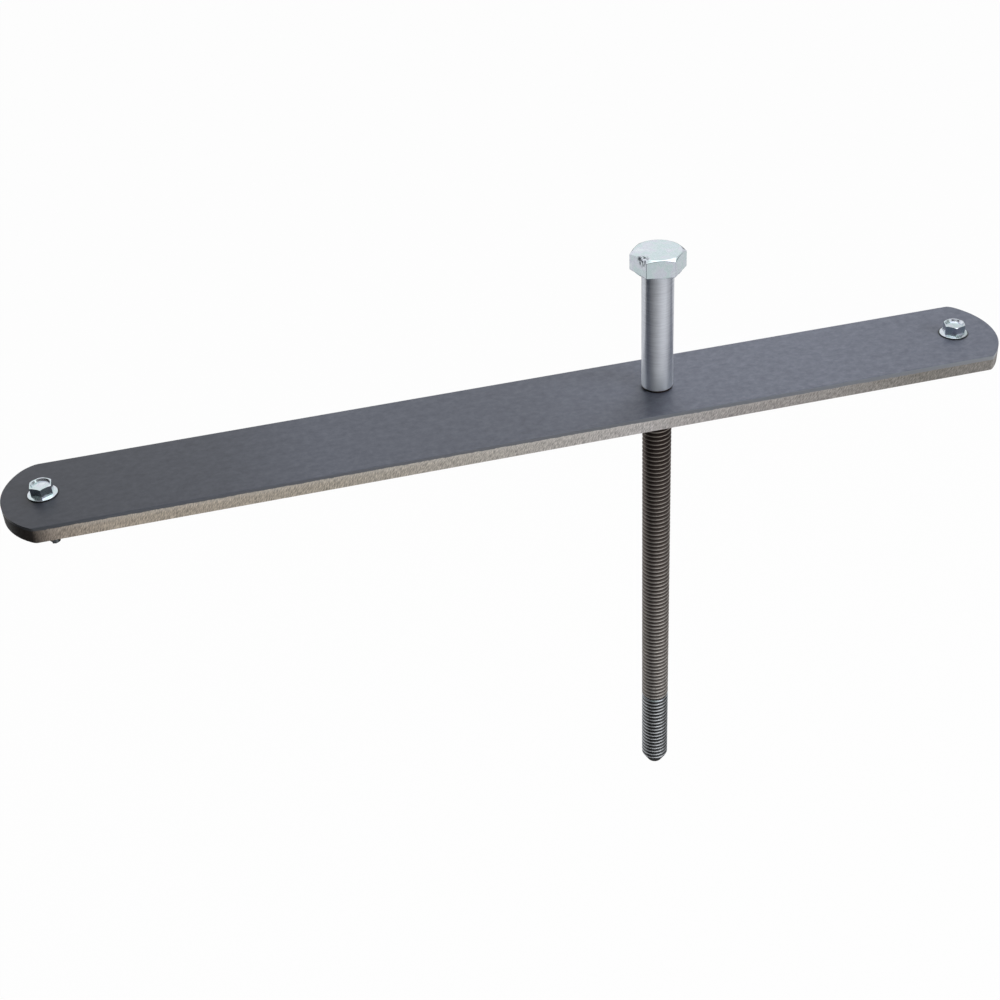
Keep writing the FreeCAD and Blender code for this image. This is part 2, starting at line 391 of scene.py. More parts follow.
def scale_tone(tree, where, along, flat):
    """Mill scale: fine grain and clouds a few millimetres across, drawn out along the rolling.
    Its colour is painted darker at the left end and paler towards the right end, a painted
    light that falls off along the bar. A dark ring round each screw's flange is a painted
    contact shadow. Where the scale rolls over the edge it has a tone of its own, dark at the left
    end and pale towards the right end: partly worn edge and partly a painted sheen that follows
    the fall of light along the bar."""
    drawn_out = add(tree, "ShaderNodeMapping", {"Vector": where, "Scale": (0.8, 1, 1)})
    clouds = add(
        tree, "ShaderNodeTexNoise",
        {"Vector": drawn_out, "Scale": 1 / (3 * MM), "Detail": 8.0, "Roughness": 0.8},
    )
    tone = add(
        tree, "ShaderNodeValToRGB", {"Fac": clouds},
        stops=[(0.36, "494e5c"), (0.5, "555a68"), (0.64, "616673")],
    )
    # Painted light: the scale's colour is multiplied darker at the left end and paler towards the right
    # end, for the fall of light along the bar
    painted_light_along_bar = add(
        tree, "ShaderNodeValToRGB", {"Fac": along},
        stops=[
            (0.0, "989898"), (0.1, "a8a8a8"), (0.2, "b8b8b8"), (0.3, "e0e0e0"), (0.4, "dadada"),
            (0.5, "d8d8d8"), (0.58, "e8e8e8"), (0.7, "fafafa"), (0.8, "ffffff"), (1.0, "f4f4f4"),
        ],
    )
    tone = add(
        tree, "ShaderNodeMix", {0: 1.0, 6: tone, 7: painted_light_along_bar}, data_type="RGBA", blend_type="MULTIPLY",
    ).outputs[2]
    flange = SCREW_FLANGE_DIAMETER / 2
    # Painted contact shadow: a dark ring on the bar round each screw's flange
    for node in SCREW_TURNS:
        low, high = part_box(node)
        painted_contact_shade = add(
            tree, "ShaderNodeMapRange",
            {
                "Value": away_from_axis(tree, where, (low.x + high.x) / 2),
                "From Min": (flange + SCREW_PAINTED_SHADE_WIDTH) * MM,
                "From Max": (flange + SCREW_PAINTED_SHADE_WIDTH / 3) * MM,
            },
        )
        tone = add(
            tree, "ShaderNodeMix", {0: painted_contact_shade, 6: tone, 7: srgb("18191b")}, data_type="RGBA",
        ).outputs[2]
    rolled = add(tree, "ShaderNodeMapRange", {"Value": flat, "From Min": 0.99, "From Max": 0.5})
    # Rolled edge: partly its own worn tone and partly a painted sheen, dark at the left end and pale
    # towards the right with the fall of light
    rubbed_edge_and_sheen = add(
        tree, "ShaderNodeValToRGB", {"Fac": along},
        stops=[
            (0.0, "3a3d41"), (0.1, "5a5e65"), (0.3, "64676e"), (0.5, "6e7178"), (0.65, "70747b"),
            (0.8, "7a7e86"), (0.9, "82868d"), (0.975, "8c9096"), (0.99, "5c5f64"),
        ],
    )
    return add(tree, "ShaderNodeMix", {0: rolled, 6: tone, 7: rubbed_edge_and_sheen}, data_type="RGBA").outputs[2]


def shear_marks(tree, part):
    """Slanted marks about a third of a millimetre apart, drawn out down the wall."""
    slope = add(tree, "ShaderNodeMath", {0: part["Z"], 1: 0.5}, operation="MULTIPLY")
    leaning = add(tree, "ShaderNodeMath", {0: part["X"], 1: slope}, operation="SUBTRACT")
    drawn_out = add(tree, "ShaderNodeMath", {0: part["Z"], 1: 0.2}, operation="MULTIPLY")
    slanted = add(tree, "ShaderNodeCombineXYZ", {"X": leaning, "Y": part["Y"], "Z": drawn_out})
    return add(tree, "ShaderNodeTexNoise", {"Vector": slanted, "Scale": 1 / (0.3 * MM), "Detail": 3.0})


def wall_tone(tree, part, along, marks):
    """Torn wall: shear marks over pale bare steel that turns greyer towards the right end and dark
    grey at the right tip. At the left end it is painted near black and brown, a painted shade.
    The blade burnished it below the edge, before it tore, but not at the ends."""
    # Painted shade: near black at the left end wall; dark grey at the right tip
    ground_and_end_shade = add(
        tree, "ShaderNodeValToRGB", {"Fac": along},
        stops=[
            (0.0, "1c1815"), (0.028, "3a322c"), (0.047, "c0b2a4"), (0.1, "dccebc"), (0.3, "d9cebe"),
            (0.45, "dcd5cc"), (0.6, "e0dbd9"), (0.7, "c4bebb"), (0.8, "b8b2ae"), (0.9, "9c9790"),
            (0.975, "9e9994"), (0.99, "3c3c40"),
        ],
    )
    marked = add(
        tree, "ShaderNodeValToRGB", {"Fac": marks}, stops=[(0.38, "aeaeae"), (0.62, "ffffff")],
    )
    tone = add(
        tree, "ShaderNodeMix", {0: 1.0, 6: ground_and_end_shade, 7: marked}, data_type="RGBA", blend_type="MULTIPLY",
    ).outputs[2]
    near_edge = add(
        tree, "ShaderNodeMapRange",
        {
            "Value": part["Z"],
            "From Min": (BAR_TOP - BAR_BURNISH_END) * MM,
            "From Max": (BAR_TOP - BAR_BURNISH) * MM,
        },
    )
    share = add(
        tree, "ShaderNodeValToRGB", {"Fac": along},
        stops=[(0.03, "000000"), (0.08, "7c7c7c"), (0.6, "7c7c7c"), (0.85, "000000")],
    )
    burnished = add(tree, "ShaderNodeMath", {0: near_edge, 1: share}, operation="MULTIPLY")
    return add(
        tree, "ShaderNodeMix", {0: burnished, 6: tone, 7: srgb("eeeae6")}, data_type="RGBA",
    ).outputs[2]


def scale_cover(tree, where, part, along, flat):
    """1 on the mill scale and 0 on the torn wall, with a ragged line between them."""
    tear = add(tree, "ShaderNodeTexNoise", {"Vector": where, "Scale": 1 / (2 * MM), "Detail": 5.0})
    wander = add(
        tree, "ShaderNodeMapRange",
        {
            "Value": tear, "From Min": 0.3, "From Max": 0.7,
            "To Min": -BAR_SCALE_WANDER * MM, "To Max": BAR_SCALE_WANDER * MM,
        },
    )
    drop = add(
        tree, "ShaderNodeMapRange",
        {"Value": along, "From Min": 0.4, "From Max": 0.75, "To Max": BAR_SCALE_END_DROP * MM},
    )
    height = add(tree, "ShaderNodeMath", {0: part["Z"], 1: wander}, operation="ADD")
    height = add(tree, "ShaderNodeMath", {0: height, 1: drop}, operation="ADD")
    line = BAR_TOP - BAR_SCALE_END
    over_edge = add(
        tree, "ShaderNodeMapRange",
        {
            "Value": height,
            "From Min": (line - BAR_SCALE_FADE) * MM,
            "From Max": (line + BAR_SCALE_FADE) * MM,
        },
    )
    on_flat = add(tree, "ShaderNodeMapRange", {"Value": flat, "From Min": 0.75, "From Max": 0.9})
    return add(tree, "ShaderNodeMath", {0: over_edge, 1: on_flat}, operation="MAXIMUM")


def mill_scale_steel():
    """Hot rolled mild steel flat, slit by shears: matt blue-black scale above and below, and
    pale torn walls with slanted shear marks. The scale wraps over the rolled top edge and
    ends there in a thin ragged line."""
    material, tree = new_tree("hot_rolled_steel_sheared")
    where = add(tree, "ShaderNodeTexCoord").outputs["Object"]
    part = add(tree, "ShaderNodeSeparateXYZ", {0: where}).outputs
    normal = add(tree, "ShaderNodeNewGeometry").outputs["Normal"]
    facing = add(tree, "ShaderNodeSeparateXYZ", {0: normal}).outputs["Z"]
    flat = add(tree, "ShaderNodeMath", {0: facing}, operation="ABSOLUTE")
    end_x = BAR_LENGTH / 2 * MM
    along = add(tree, "ShaderNodeMapRange", {"Value": part["X"], "From Min": -end_x, "From Max": end_x})
    marks = shear_marks(tree, part)
    covered = scale_cover(tree, where, part, along, flat)
    wall = wall_tone(tree, part, along, marks)
    scale = scale_tone(tree, where, along, flat)
    tone = add(tree, "ShaderNodeMix", {0: covered, 6: wall, 7: scale}, data_type="RGBA").outputs[2]
    rough = add(tree, "ShaderNodeMapRange", {"Value": covered, "To Min": 0.55, "To Max": 0.42})

    # The marks stand a few hundredths of a millimetre off the wall
    bare = add(tree, "ShaderNodeMath", {0: 1.0, 1: covered}, operation="SUBTRACT")
    mark_height = add(tree, "ShaderNodeMath", {0: marks, 1: bare}, operation="MULTIPLY")
    relief = add(
        tree, "ShaderNodeBump", {"Height": mark_height, "Distance": 0.06 * MM, "Strength": 1.0},
    )
    shader = add(tree, "ShaderNodeBsdfPrincipled", {
        "Base Color": tone, "Roughness": rough, "Metallic": 0.0, "Normal": relief,
    })
    add(tree, "ShaderNodeOutputMaterial", {"Surface": shader})
    return material


def zinc_plate(name, smooth, dull, scuff=None, painted_shade_top=None):
    """Bright zinc plate over cold forged steel: pale and shining, with faint blue, green and
    pink clouds from the passivation, and roughness that wears from smooth to dull. Round a
    scuff the plate is chipped down to the dark steel. Below a given height it is painted dark,
    a painted contact shadow on a flange's rim that also darkens the screw below the bar. Both
    places are in millimetres."""
    material, tree = new_tree(name)
    where = add(tree, "ShaderNodeTexCoord").outputs["Object"]
    clouds = add(tree, "ShaderNodeTexNoise", {"Vector": where, "Scale": 1 / (3.5 * MM), "Detail": 3.0})
    tone = add(
        tree, "ShaderNodeValToRGB", {"Fac": clouds},
        stops=[(0.3, "d0dce3"), (0.42, "cadadc"), (0.5, "d3dee3"), (0.58, "d3d7e2"), (0.7, "dde6ea")],
    )
    if scuff:
        centre = Vector(scuff) * MM
        away = add(tree, "ShaderNodeVectorMath", {0: where, 1: centre}, operation="DISTANCE")
        near = add(
            tree, "ShaderNodeMapRange",
            {
                "Value": away.outputs["Value"],
                "From Min": 2 * BOLT_SCUFF_REACH * MM,
                "From Max": BOLT_SCUFF_REACH * MM,
            },
        )
        chips = add(tree, "ShaderNodeTexNoise", {"Vector": where, "Scale": 1 / (0.9 * MM), "Detail": 2.0})
        chips = add(tree, "ShaderNodeMapRange", {"Value": chips, "From Min": 0.44, "From Max": 0.54})
        chipped = add(tree, "ShaderNodeMath", {0: near, 1: chips}, operation="MULTIPLY")
        tone = add(
            tree, "ShaderNodeMix", {0: chipped, 6: tone, 7: srgb("4a5056")}, data_type="RGBA",
        ).outputs[2]
    # Painted contact shadow: the colour is darkened below the given height
    if painted_shade_top:
        height = add(tree, "ShaderNodeSeparateXYZ", {0: where}).outputs["Z"]
        painted_contact_shade = add(
            tree, "ShaderNodeMapRange",
            {
                "Value": height, "From Min": (painted_shade_top + 0.1) * MM, "From Max": (painted_shade_top - 0.1) * MM,
                "To Max": 0.85,
            },
        )
        tone = add(
            tree, "ShaderNodeMix", {0: painted_contact_shade, 6: tone, 7: srgb("2c2c2e")}, data_type="RGBA",
        ).outputs[2]
    wear = add(tree, "ShaderNodeTexNoise", {"Vector": where, "Scale": 1 / (1.2 * MM), "Detail": 4.0})
    rough = add(
        tree, "ShaderNodeMapRange",
        {"Value": wear, "From Min": 0.3, "From Max": 0.7, "To Min": smooth, "To Max": dull},
    )
    relief = add(tree, "ShaderNodeBump", {"Height": wear, "Distance": 0.006 * MM, "Strength": 1.0})
    shader = add(tree, "ShaderNodeBsdfPrincipled", {
        "Base Color": tone, "Roughness": rough, "Metallic": 1.0, "Normal": relief,
    })
    add(tree, "ShaderNodeOutputMaterial", {"Surface": shader})
    return material


def turned_zinc():
    """Turned shank under thin zinc: fine lines run round it and smear its shine up and down.
    Its colour is painted paler just above the bar, a painted highlight where the shank
    reflects the dark bar."""
    material, tree = new_tree("zinc_plate_turned_shank")
    where = add(tree, "ShaderNodeTexCoord").outputs["Object"]
    around = add(tree, "ShaderNodeMapping", {"Vector": where, "Scale": (0.05, 0.05, 1)})
    lines = add(tree, "ShaderNodeTexNoise", {"Vector": around, "Scale": 1 / (0.35 * MM), "Detail": 4.0})
    tone = add(
        tree, "ShaderNodeValToRGB", {"Fac": lines},
        stops=[(0.3, "ccd0d8"), (0.5, "dadee6"), (0.7, "e6eaf2")],
    )
    height = add(tree, "ShaderNodeSeparateXYZ", {0: where}).outputs["Z"]
    # Painted highlight: the colour turns paler just above the bar
    painted_foot_highlight = add(
        tree, "ShaderNodeMapRange",
        {
            "Value": height,
            "From Min": (BAR_TOP + BOLT_PAINTED_HIGHLIGHT_END) * MM,
            "From Max": (BAR_TOP + BOLT_PAINTED_HIGHLIGHT_FULL) * MM,
            "To Max": 0.8,
        },
    )
    tone = add(
        tree, "ShaderNodeMix", {0: painted_foot_highlight, 6: tone, 7: srgb("f4faff")}, data_type="RGBA",
    ).outputs[2]
    shader = add(tree, "ShaderNodeBsdfPrincipled", {
        "Base Color": tone, "Roughness": 0.32, "Metallic": 1.0,
        "Anisotropic": 1.0, "Anisotropic Rotation": 0.25,
    })
    add(tree, "ShaderNodeOutputMaterial", {"Surface": shader})
    return material


def thread_level(tree, where):
    """How far out on the bolt's thread a point lies, from 0 at the root to 1 at the crest."""
    out = away_from_axis(tree, where, BOLT_X * MM)
    smear = add(tree, "ShaderNodeTexNoise", {"Vector": where, "Scale": 1 / (1.5 * MM), "Detail": 3.0})
    stray = add(
        tree, "ShaderNodeMapRange",
        {"Value": smear, "From Min": 0.3, "From Max": 0.7, "To Min": -0.05 * MM, "To Max": 0.05 * MM},
    )
    out = add(tree, "ShaderNodeMath", {0: out, 1: stray}, operation="ADD")
    crest = BOLT_THREAD_DIAMETER / 2
    return add(
        tree, "ShaderNodeMapRange",
        {"Value": out, "From Min": (crest - BOLT_THREAD_DEPTH) * MM, "From Max": crest * MM},
    )


def cut_thread():
    """Machine cut thread: flanks dark with cutting oil and oxide, and thin worn crests. The
    whole thread is paler towards the tip."""
    material, tree = new_tree("cut_thread_oiled_steel")
    where = add(tree, "ShaderNodeTexCoord").outputs["Object"]
    level = thread_level(tree, where)
    # Darker tone near the bar, paler tone towards the tip
    upper_thread_tone = add(
        tree, "ShaderNodeValToRGB", {"Fac": level},
        stops=[(0.0, "4a413d"), (0.86, "665b56"), (0.96, "a8a098")],
    )
    lower_thread_tone = add(
        tree, "ShaderNodeValToRGB", {"Fac": level},
        stops=[(0.0, "66605c"), (0.86, "857f7b"), (0.96, "d8d4d0")],
    )
    height = add(tree, "ShaderNodeSeparateXYZ", {0: where}).outputs["Z"]
    down = add(
        tree, "ShaderNodeMapRange",
        {"Value": height, "From Min": BOLT_DARK_THREAD_END * MM, "From Max": BOLT_PALE_THREAD_START * MM},
    )
    tone = add(tree, "ShaderNodeMix", {0: down, 6: upper_thread_tone, 7: lower_thread_tone}, data_type="RGBA").outputs[2]
    shader = add(tree, "ShaderNodeBsdfPrincipled", {
        "Base Color": tone, "Roughness": 0.4, "Metallic": 0.7,
    })
    add(tree, "ShaderNodeOutputMaterial", {"Surface": shader})
    return material


def rolled_thread():
    """Thread that the bolt was bought with: rolled smooth and zinc plated grey, its roots painted darker
    than its crests as painted shade in the grooves.
    """
    material, tree = new_tree("rolled_thread_zinc_plate")
    where = add(tree, "ShaderNodeTexCoord").outputs["Object"]
    # Painted shade: the roots are darker than the crests
    tone = add(
        tree, "ShaderNodeValToRGB", {"Fac": thread_level(tree, where)},
        stops=[(0.0, "505050"), (0.7, "606162"), (0.95, "ccd0d4")],
    )
    shader = add(tree, "ShaderNodeBsdfPrincipled", {
        "Base Color": tone, "Roughness": 0.36, "Metallic": 1.0,
    })
    add(tree, "ShaderNodeOutputMaterial", {"Surface": shader})
    return material


# Pieces

def corner_centre(end, nose_radius, offset, side, corner_radius):
    """Middle of the small arc that runs a nose into a long side, and its angle at the nose."""
    across = side * (BAR_WIDTH / 2 - corner_radius) - offset
    along = end * math.sqrt((nose_radius - corner_radius) ** 2 - across ** 2)
    nose_centre = end * (BAR_LENGTH / 2 - nose_radius)
    centre = Vector((nose_centre + along, across + offset, 0))
    return centre, math.atan2(across, along) % math.tau


def draw_arc(angle, centre, steps):
    """Draws the selected point on round a centre, anticlockwise from above."""
    bpy.ops.mesh.spin(steps=steps, angle=-angle, center=centre * MM, axis=(0, 0, 1))


def build_plan():
    """Upright prism of the bar's plan: two nose arcs, run into the sides by corner arcs."""
    half = BAR_WIDTH / 2
    plan = start_outline("plan")

    # One nose after the other, anticlockwise: its end of the bar, its radius and offset, and
    # the radii of the corners before and after it
    noses = (
        (-1, BAR_LEFT_NOSE_RADIUS, 0.0, BAR_LEFT_BACK_CORNER, BAR_LEFT_FRONT_CORNER),
        (1, BAR_RIGHT_NOSE_RADIUS, BAR_RIGHT_NOSE_OFFSET, BAR_RIGHT_FRONT_CORNER, BAR_RIGHT_BACK_CORNER),
    )
    point = Vector((0, 0, 0))
    for end, radius, offset, first_radius, last_radius in noses:
        first, first_angle = corner_centre(end, radius, offset, -end, first_radius)
        last, last_angle = corner_centre(end, radius, offset, end, last_radius)
        start = Vector((first.x, -end * half, 0))
        if end < 0:
            bpy.ops.transform.translate(value=(start - point) * MM)
        else:
            bpy.ops.mesh.extrude_vertices_move(TRANSFORM_OT_translate={"value": (start - point) * MM})
        side_angle = math.pi / 2 if end < 0 else 3 * math.pi / 2
        nose_centre = Vector((end * (BAR_LENGTH / 2 - radius), offset, 0))
        draw_arc((first_angle - side_angle) % math.tau, first, 8)
        draw_arc((last_angle - first_angle) % math.tau, nose_centre, 64)
        draw_arc((side_angle + math.pi - last_angle) % math.tau, last, 8)
        point = Vector((last.x, end * half, 0))
    bpy.ops.mesh.select_all(action="SELECT")
    bpy.ops.mesh.edge_face_add()

    # It runs past the bar above and below
    bpy.ops.transform.translate(value=(0, 0, -TOOL_REACH * MM))
    height = BAR_TOP + 2 * TOOL_REACH
    bpy.ops.mesh.extrude_region_move(TRANSFORM_OT_translate={"value": (0, 0, height * MM)})
    close_shape()
    return plan


def drill(strip, x, thread_diameter, sides):
    """Drills one hole through the bar, just wide enough for a thread."""
    radius = thread_diameter / 2 + BAR_HOLE_CLEARANCE
    tool = turned("hole", [(radius, -TOOL_REACH), (radius, BAR_TOP + TOOL_REACH)], sides)
    cut(strip, move(tool, x, 0, 0), "DIFFERENCE")


def build_bar(material):
    """The strip with rolled long edges, cropped to its plan and drilled."""
    bpy.ops.object.select_all(action="DESELECT")
    bpy.ops.mesh.primitive_cube_add(
        size=1,
        location=(0, 0, BAR_TOP / 2 * MM),
        scale=((BAR_LENGTH + 2 * TOOL_REACH) * MM, BAR_WIDTH * MM, BAR_TOP * MM),
    )
    strip = named("flat_bar")
    settle(strip)
    edit(strip)
    bpy.ops.mesh.select_mode(type="EDGE")
    bpy.ops.mesh.select_all(action="DESELECT")
    leave()
    points = strip.data.vertices
    for line in strip.data.edges:
        a, b = (points[i].co / MM for i in line.vertices)
        line.select = abs(a.x - b.x) > BAR_LENGTH and min(a.z, b.z) > BAR_TOP / 2
    edit(strip)
    bpy.ops.mesh.bevel(offset=BAR_ROLL * MM, offset_type="OFFSET", segments=8, profile=0.5, affect="EDGES")
    leave()
    cut(strip, build_plan(), "INTERSECT")
    drill(strip, BOLT_X, BOLT_THREAD_DIAMETER, sides=96)
    for node in SCREW_TURNS:
        low, high = box_mm(node)
        drill(strip, (low.x + high.x) / 2, SCREW_THREAD_DIAMETER, sides=48)
    modify(
        strip, "BEVEL",
        width=BAR_EDGE_BREAK * MM, segments=2, limit_method="ANGLE", angle_limit=math.radians(35),
    )
    finish_piece(strip, "bar", [material], lambda centre: 0)


def build_bolt_head():
    """Forged hexagon on its washer face, its top corners cut by a flat cone."""
    block = hexagon("hex_bolt", BOLT_HEAD_FLATS, BOLT_WASHER_FACE_HEIGHT, BOLT_HEAD_HEIGHT)
    rim = BOLT_HEAD_FLATS
    drop = (rim - BOLT_CHAMFER_DIAMETER / 2) * math.tan(math.radians(BOLT_CHAMFER_ANGLE))
    cone = turned("cone", [
        (rim, -TOOL_REACH),
        (rim, BOLT_HEAD_HEIGHT - drop),
        (BOLT_CHAMFER_DIAMETER / 2, BOLT_HEAD_HEIGHT),
    ], sides=192)
    cut(block, cone, "INTERSECT")
    modify(
        block, "BEVEL",
        width=BOLT_HEAD_EDGE_BREAK * MM, segments=3,
        limit_method="ANGLE", angle_limit=math.radians(20),
    )
    face = BOLT_WASHER_FACE_DIAMETER / 2
    washer_face = turned("washer_face", [
        (face - BOLT_WASHER_FACE_BREAK, 0),
        (face, BOLT_WASHER_FACE_BREAK),
        (face, BOLT_WASHER_FACE_HEIGHT + OVERLAP),
    ])
    cut(block, washer_face, "UNION")
    return block


def build_bolt(head_material, shank_material, cut_material, rolled_material):
    """Head, turned shank with its run-out, and a thread with a cone at its tip. A filled turn
    marks where the cut thread meets the rolled one."""
    head_bottom = BOLT_TOP - BOLT_HEAD_HEIGHT
    rolled_top = BOLT_TIP + BOLT_ROLLED_LENGTH
    shank = BOLT_SHANK_DIAMETER / 2
    neck = BOLT_RUN_OUT_DIAMETER / 2
    crest = BOLT_THREAD_DIAMETER / 2
    bolt = move(build_bolt_head(), 0, 0, head_bottom, BOLT_HEAD_TURN)
    rod = turned("rod", [
        (crest - BOLT_THREAD_DEPTH - OVERLAP, BAR_TOP - BOLT_CORE_BOTTOM),
        (neck, BAR_TOP - BOLT_NECK_BOTTOM),
        (neck, BAR_TOP + BOLT_NECK_TOP),
        (shank, BAR_TOP + BOLT_RUN_OUT),
        (shank, head_bottom + OVERLAP),
    ])
    cut(bolt, rod, "UNION")
    screw = thread(
        "thread", crest, BOLT_THREAD_DEPTH, BOLT_PITCH, BOLT_CREST_WIDTH, BOLT_ROOT_WIDTH,
        BOLT_TIP, BAR_TOP - BOLT_THREAD_TOP,
    )
    envelope = turned("envelope", [
        (BOLT_TIP_DIAMETER / 2, BOLT_TIP),
        (crest + GAP, BOLT_TIP + BOLT_TIP_LENGTH),
        (crest + GAP, BAR_TOP + TOOL_REACH),
    ])
    cut(screw, envelope, "INTERSECT")
    cut(bolt, screw, "UNION")
    last_turn_bottom = rolled_top - BOLT_LAST_TURN_BELOW
    last_turn_top = rolled_top + BOLT_LAST_TURN_ABOVE
    last_turn = turned("last_turn", [
        (crest - BOLT_LAST_TURN_DEPTH, last_turn_bottom),
        (crest + GAP, last_turn_bottom + BOLT_LAST_TURN_BREAK),
        (crest + GAP, last_turn_top - BOLT_LAST_TURN_BREAK),
        (crest - BOLT_LAST_TURN_DEPTH, last_turn_top),
    ])
    cut(bolt, last_turn, "UNION")
    move(bolt, BOLT_X, 0, 0)

    def pick(centre):
        """Plate on the head and the last turn, turned shank, cut thread or rolled thread."""
        out = math.hypot(centre.x - BOLT_X, centre.y)
        on_last_turn = abs(centre.z - rolled_top) < BOLT_LAST_TURN_BELOW and out > crest - 0.2
        if centre.z > head_bottom - GAP or on_last_turn:
            return 0
        if centre.z > BAR_TOP + BOLT_RUN_OUT:
            return 1
        return 2 if centre.z > rolled_top else 3

    materials = [head_material, shank_material, cut_material, rolled_material]
    finish_piece(bolt, "hanger_bolt", materials, pick)


def build_screw_head(name):
    """Hexagon with chamfered corners and a dished top, on a thin coned flange."""
    flats = SCREW_HEAD_FLATS / 2
    corner = SCREW_HEAD_FLATS / math.sqrt(3)
    flange = SCREW_FLANGE_DIAMETER / 2
    flange_top = SCREW_FLANGE_RIM + SCREW_FLANGE_RISE
    head = hexagon(name, SCREW_HEAD_FLATS, SCREW_FLANGE_RIM / 2, SCREW_HEAD_HEIGHT)

    # The chamfer goes down half as fast as it goes out, and past the corners
    past_corner = 1.0
    crown = turned("crown", [
        (corner + past_corner, -TOOL_REACH),
        (corner + past_corner, SCREW_HEAD_HEIGHT - SCREW_HEAD_CORNER_BREAK - past_corner / 2),
        (corner - 2 * SCREW_HEAD_CORNER_BREAK, SCREW_HEAD_HEIGHT),
    ])
    cut(head, crown, "INTERSECT")
    dish = turned("dish", [
        (SCREW_DISH_FLOOR_DIAMETER / 2, SCREW_HEAD_HEIGHT - SCREW_DISH_DEPTH),
        (SCREW_DISH_DIAMETER / 2, SCREW_HEAD_HEIGHT),
        (SCREW_DISH_DIAMETER / 2, SCREW_HEAD_HEIGHT + TOOL_REACH),
    ])
    cut(head, dish, "DIFFERENCE")
    washer = turned("washer", [
        (flange - SCREW_FLANGE_FOOT_BREAK, 0),
        (flange, SCREW_FLANGE_FOOT_BREAK),
        (flange, SCREW_FLANGE_RIM - SCREW_EDGE_BREAK),
        (flange - SCREW_EDGE_BREAK, SCREW_FLANGE_RIM),
        (flats, flange_top),
        (flats - 5 * OVERLAP, flange_top),
    ])
    cut(head, washer, "UNION")
    modify(
        head, "BEVEL",
        width=SCREW_EDGE_BREAK * MM, segments=2, limit_method="ANGLE", angle_limit=math.radians(30),
    )
    return head


def build_screw_shank(tip):
    """Thread, and a drill point with two flutes. Its tip lies below the head's underside."""
    crest = SCREW_THREAD_DIAMETER / 2
    point = SCREW_DRILL_DIAMETER / 2
    shoulder = tip + SCREW_DRILL_LENGTH
    slope = math.tan(math.radians(SCREW_DRILL_TIP_ANGLE / 2))
    shank = thread(
        "thread", crest, SCREW_THREAD_DEPTH, SCREW_PITCH, SCREW_CREST_WIDTH, SCREW_ROOT_WIDTH,
        shoulder - SCREW_THREAD_END, OVERLAP, steps=32,
    )
    envelope = turned("envelope", [
        (point - GAP, shoulder - TOOL_REACH),
        (point - GAP, shoulder),
        (crest + GAP, shoulder + SCREW_THREAD_START),
        (crest + GAP, TOOL_REACH),
    ])
    cut(shank, envelope, "INTERSECT")
    bit = turned("bit", [
        (SCREW_DRILL_TIP_RADIUS, tip),
        (point, tip + point / slope),
        (point, shoulder + 2 * OVERLAP),
    ], sides=48)
    for side in (-1, 1):
        flute = turned("flute", [
            (SCREW_FLUTE_RADIUS, tip - TOOL_REACH),
            (SCREW_FLUTE_RADIUS, shoulder - SCREW_FLUTE_RUN_OUT),
            (SCREW_FLUTE_RADIUS * 0.7, shoulder - SCREW_FLUTE_RUN_OUT * 0.3),
            (0.1, shoulder),
        ], sides=32)
        cut(bit, move(flute, side * SCREW_FLUTE_OFFSET, 0, 0), "DIFFERENCE")
    cut(shank, bit, "UNION")
    return shank


def build_deck_screw(node, turn, material):
    """Hex washer head self-drilling screw, seated on the bar."""
    low, high = box_mm(node)
    screw = build_screw_head(node + "_piece")
    cut(screw, build_screw_shank(low.z - BAR_TOP), "UNION")
    move(screw, (low.x + high.x) / 2, 0, BAR_TOP, turn)
    finish_piece(screw, node, [material], lambda centre: 0)


# Stage, lamps and camera

def seen_rays(tree):
    """1 for rays from the camera or from a mirror or glass, which see the white backdrop."""
    path = add(tree, "ShaderNodeLightPath").outputs
    seen = add(
        tree, "ShaderNodeMath",
        {0: path["Is Camera Ray"], 1: path["Is Transmission Ray"]}, operation="MAXIMUM",
    )
    return add(tree, "ShaderNodeMath", {0: seen, 1: path["Is Glossy Ray"]}, operation="MAXIMUM")


def build_floor():
    """White studio paper well below the object, which keeps a trace of its shadow."""
    floor_drop = -600.0
    bpy.ops.object.select_all(action="DESELECT")
    bpy.ops.mesh.primitive_plane_add(size=12, location=(0, 0, floor_drop * MM))
    floor = named("floor")
    settle(floor)
    material, tree = new_tree("studio_paper")
    paper = add(tree, "ShaderNodeBsdfDiffuse", {"Color": srgb("d8d8d8")})
    glow = add(tree, "ShaderNodeEmission", {"Color": (1, 1, 1, 1), "Strength": 1.0})
    share = add(tree, "ShaderNodeMath", {0: seen_rays(tree), 1: 0.98}, operation="MULTIPLY")
    mix = add(tree, "ShaderNodeMixShader", {0: share, 1: paper, 2: glow})
    add(tree, "ShaderNodeOutputMaterial", {"Surface": mix})
    floor.data.materials.append(material)


def finish_card(card, material):
    """Gives a card its material, and lets only reflections see it."""
    card.data.materials.append(material)
    card.visible_camera = False
    card.visible_diffuse = False
    card.visible_shadow = False


